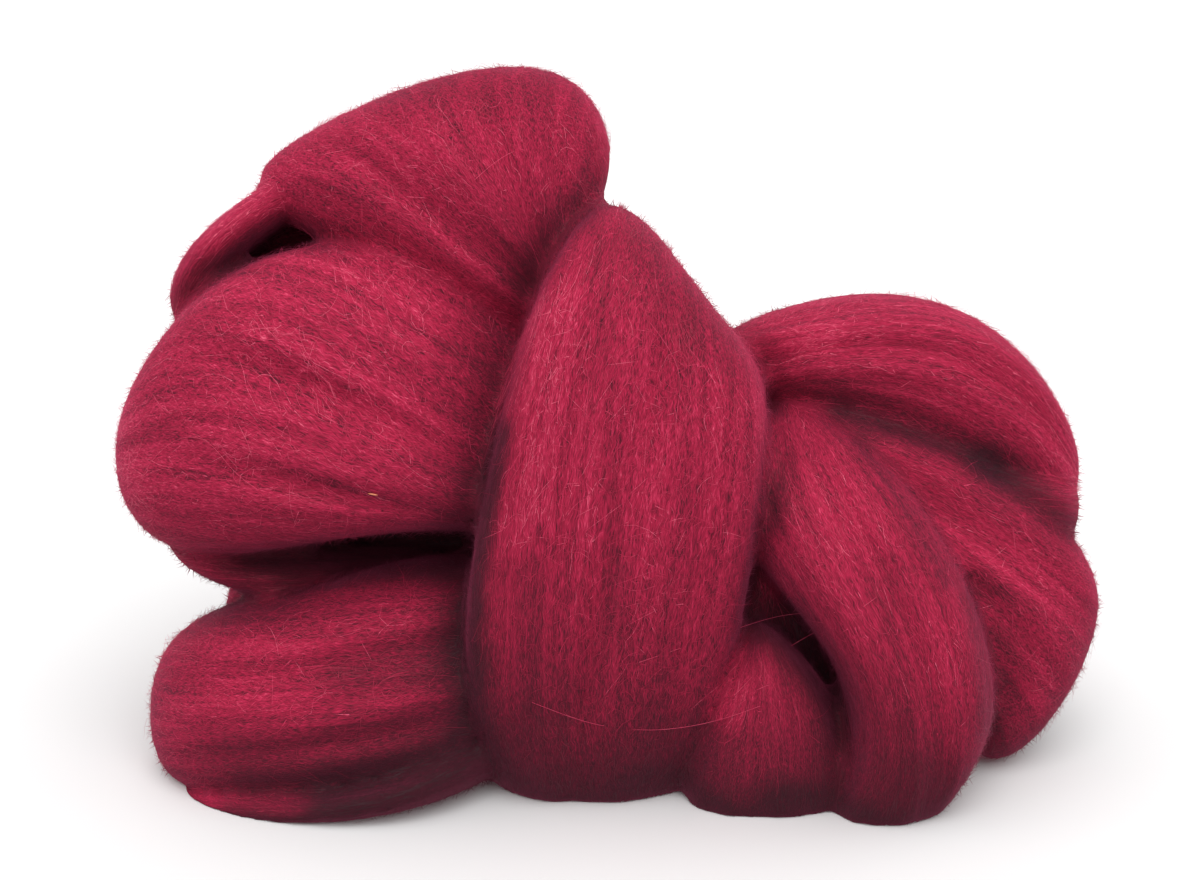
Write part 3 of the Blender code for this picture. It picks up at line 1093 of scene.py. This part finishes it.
for number, (piece_name, laps, laid_out, kind) in enumerate(FIBRE_PIECES):
    chance = np.random.default_rng(FIBRE_SEEDS + number)
    area = np.array([spots_of_lap[name][2].sum() for name in laps])
    strands = []
    shades = []
    widths = []
    for name, part_of_area in zip(laps, area / area.sum()):
        wanted = round(laid_out * part_of_area)
        if wanted == 0:
            continue
        for places, lifts, shade, thick in zip(*strands_over(name, kind, wanted, chance)):
            strand = laid_on_wool(places, lifts, kind["bridging"])
            if strand is not None:
                strands.append(strand if kind["points"] > 2 else strand[[0, -1]])
                shades.append(shade)
                widths.append(thick)
    wool = strand_mesh(piece_name, strands, widths, shades)
    wool.materials.clear()
    wool.materials.append(finish)
    piece = bpy.data.objects.new(piece_name, wool)
    bpy.context.scene.collection.objects.link(piece)
    # So fine a fibre lets the light past, so it throws no shadow.
    piece.visible_shadow = False
    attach(piece, "root")


# ---- Stray fibres -------------------------------------------------------------------------------
# A few long single wool fibres that have slipped out of the roving. They lie over its face and
# bridge its folds, held only by their crimp.

# Each stray fibre as places on the drawing of the hank from its front: (x, h).
STRAYS = [
    [(6, 34), (18, 38), (29, 41), (37, 43), (44, 44)],
    [(52, 47), (48, 44), (44, 42), (40, 38), (30, 33), (28, 30), (25, 27)],
    [(-15, 26), (-8, 23), (-2, 21), (6, 20), (14, 20), (23, 22), (30, 25)],
    [(-70, 92), (-66, 97), (-60, 99), (-54, 97), (-50, 92)],
    [(-92, 70), (-88, 76), (-82, 79), (-76, 77), (-73, 71), (-68, 68)],
    [(-26, 128), (-20, 134), (-13, 136), (-7, 132), (-4, 125)],
    [(58, 88), (64, 92), (71, 92), (76, 87), (82, 85)],
    [(8, 100), (13, 94), (15, 87), (12, 80), (14, 73)],
]
STRAY_THICKNESS = 0.00009
STRAY_LIFT = 0.0005
TOWARDS_VIEWER = Vector((0, -math.cos(VIEW_TILT), math.sin(VIEW_TILT)))
OUTSIDE = 0.1


def on_front(x, h, lift):
    """The place that far before the wool's front, at a place on the drawing."""
    seen = Vector((x - MIDDLE_X, FRONT_EDGE_Y + h * math.sin(VIEW_TILT), h * math.cos(VIEW_TILT)))
    spot, _, _, _ = wool_tree.ray_cast(seen * MM + TOWARDS_VIEWER * OUTSIDE, -TOWARDS_VIEWER)
    return spot + TOWARDS_VIEWER * lift


finish, shader, dye = wool_finish("stray_fibre", roughness=0.5, gloss=0.3)
place = dye.node("ShaderNodeTexCoord", {}, {}, "Object")
mottle = dye.node("ShaderNodeTexNoise", {}, {"Vector": place, "Scale": 400.0})
colour = dye.node("ShaderNodeValToRGB", {"stops": WOOL_SHADES}, {"Fac": mottle * 0.3 + 0.72})
dye.tree.links.new(colour.socket, shader.inputs["Base Color"])

drawing = bpy.data.curves.new("stray_fibres", "CURVE")
drawing.dimensions = "3D"
drawing.bevel_depth = STRAY_THICKNESS / 2
drawing.bevel_resolution = 1
drawing.use_fill_caps = True
drawing.resolution_u = 8
for stray in STRAYS:
    line = drawing.splines.new("NURBS")
    line.points.add(len(stray) - 1)
    for point, (x, h) in zip(line.points, stray):
        point.co = (*on_front(x, h, STRAY_LIFT), 1)
    line.order_u = 4
    line.use_endpoint_u = True
drawn = bpy.data.objects.new("drawn", drawing)
bpy.context.scene.collection.objects.link(drawn)
strays = bpy.data.meshes.new_from_object(drawn.evaluated_get(bpy.context.evaluated_depsgraph_get()))
bpy.data.objects.remove(drawn)
strays.name = "stray_fibres"
strays.materials.clear()
strays.materials.append(finish)
stray_fibres = bpy.data.objects.new("stray_fibres", strays)
bpy.context.scene.collection.objects.link(stray_fibres)
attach(stray_fibres, "root")


# ---- The straw fleck ----------------------------------------------------------------------------
# One bit of straw that was left in the fleece, about 2 mm long. It is caught among the fibres of
# the middle lap on the left, and shows pale through the dye.

STRAW_PLACE = (-45.6, 67.0)
STRAW_LENGTH = 0.0021
STRAW_WIDTH = 0.00035
STRAW_LEAN = math.radians(-9)
STRAW_COLOURS = [(0.3, (0.62, 0.15, 0.07)), (0.7, (0.95, 0.38, 0.20))]
straw = bpy.data.materials.new("straw")
straw.use_nodes = True
dye = Dye(straw.node_tree)
place = dye.node("ShaderNodeTexCoord", {}, {}, "Object")
grain = dye.node("ShaderNodeTexNoise", {}, {"Vector": place, "Scale": 2500.0})
colour = dye.node("ShaderNodeValToRGB", {"stops": STRAW_COLOURS}, {"Fac": grain})
shader = straw.node_tree.nodes["Principled BSDF"]
shader.inputs["Roughness"].default_value = 0.6
dye.tree.links.new(colour.socket, shader.inputs["Base Color"])
fleck_shape = bmesh.new()
bmesh.ops.create_icosphere(fleck_shape, subdivisions=2, radius=0.5)
bmesh.ops.scale(fleck_shape, vec=(STRAW_LENGTH, STRAW_WIDTH, STRAW_WIDTH), verts=fleck_shape.verts)
lean = Matrix.Rotation(STRAW_LEAN, 3, TOWARDS_VIEWER)
bmesh.ops.rotate(fleck_shape, matrix=lean, verts=fleck_shape.verts)
bmesh.ops.translate(fleck_shape, vec=on_front(*STRAW_PLACE, STRAY_LIFT), verts=fleck_shape.verts)
straw_fleck = bpy.data.objects.new("straw_fleck", bpy.data.meshes.new("straw_fleck"))
fleck_shape.to_mesh(straw_fleck.data)
fleck_shape.free()
straw_fleck.data.shade_smooth()
straw_fleck.data.materials.append(straw)
bpy.context.scene.collection.objects.link(straw_fleck)
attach(straw_fleck, "root")
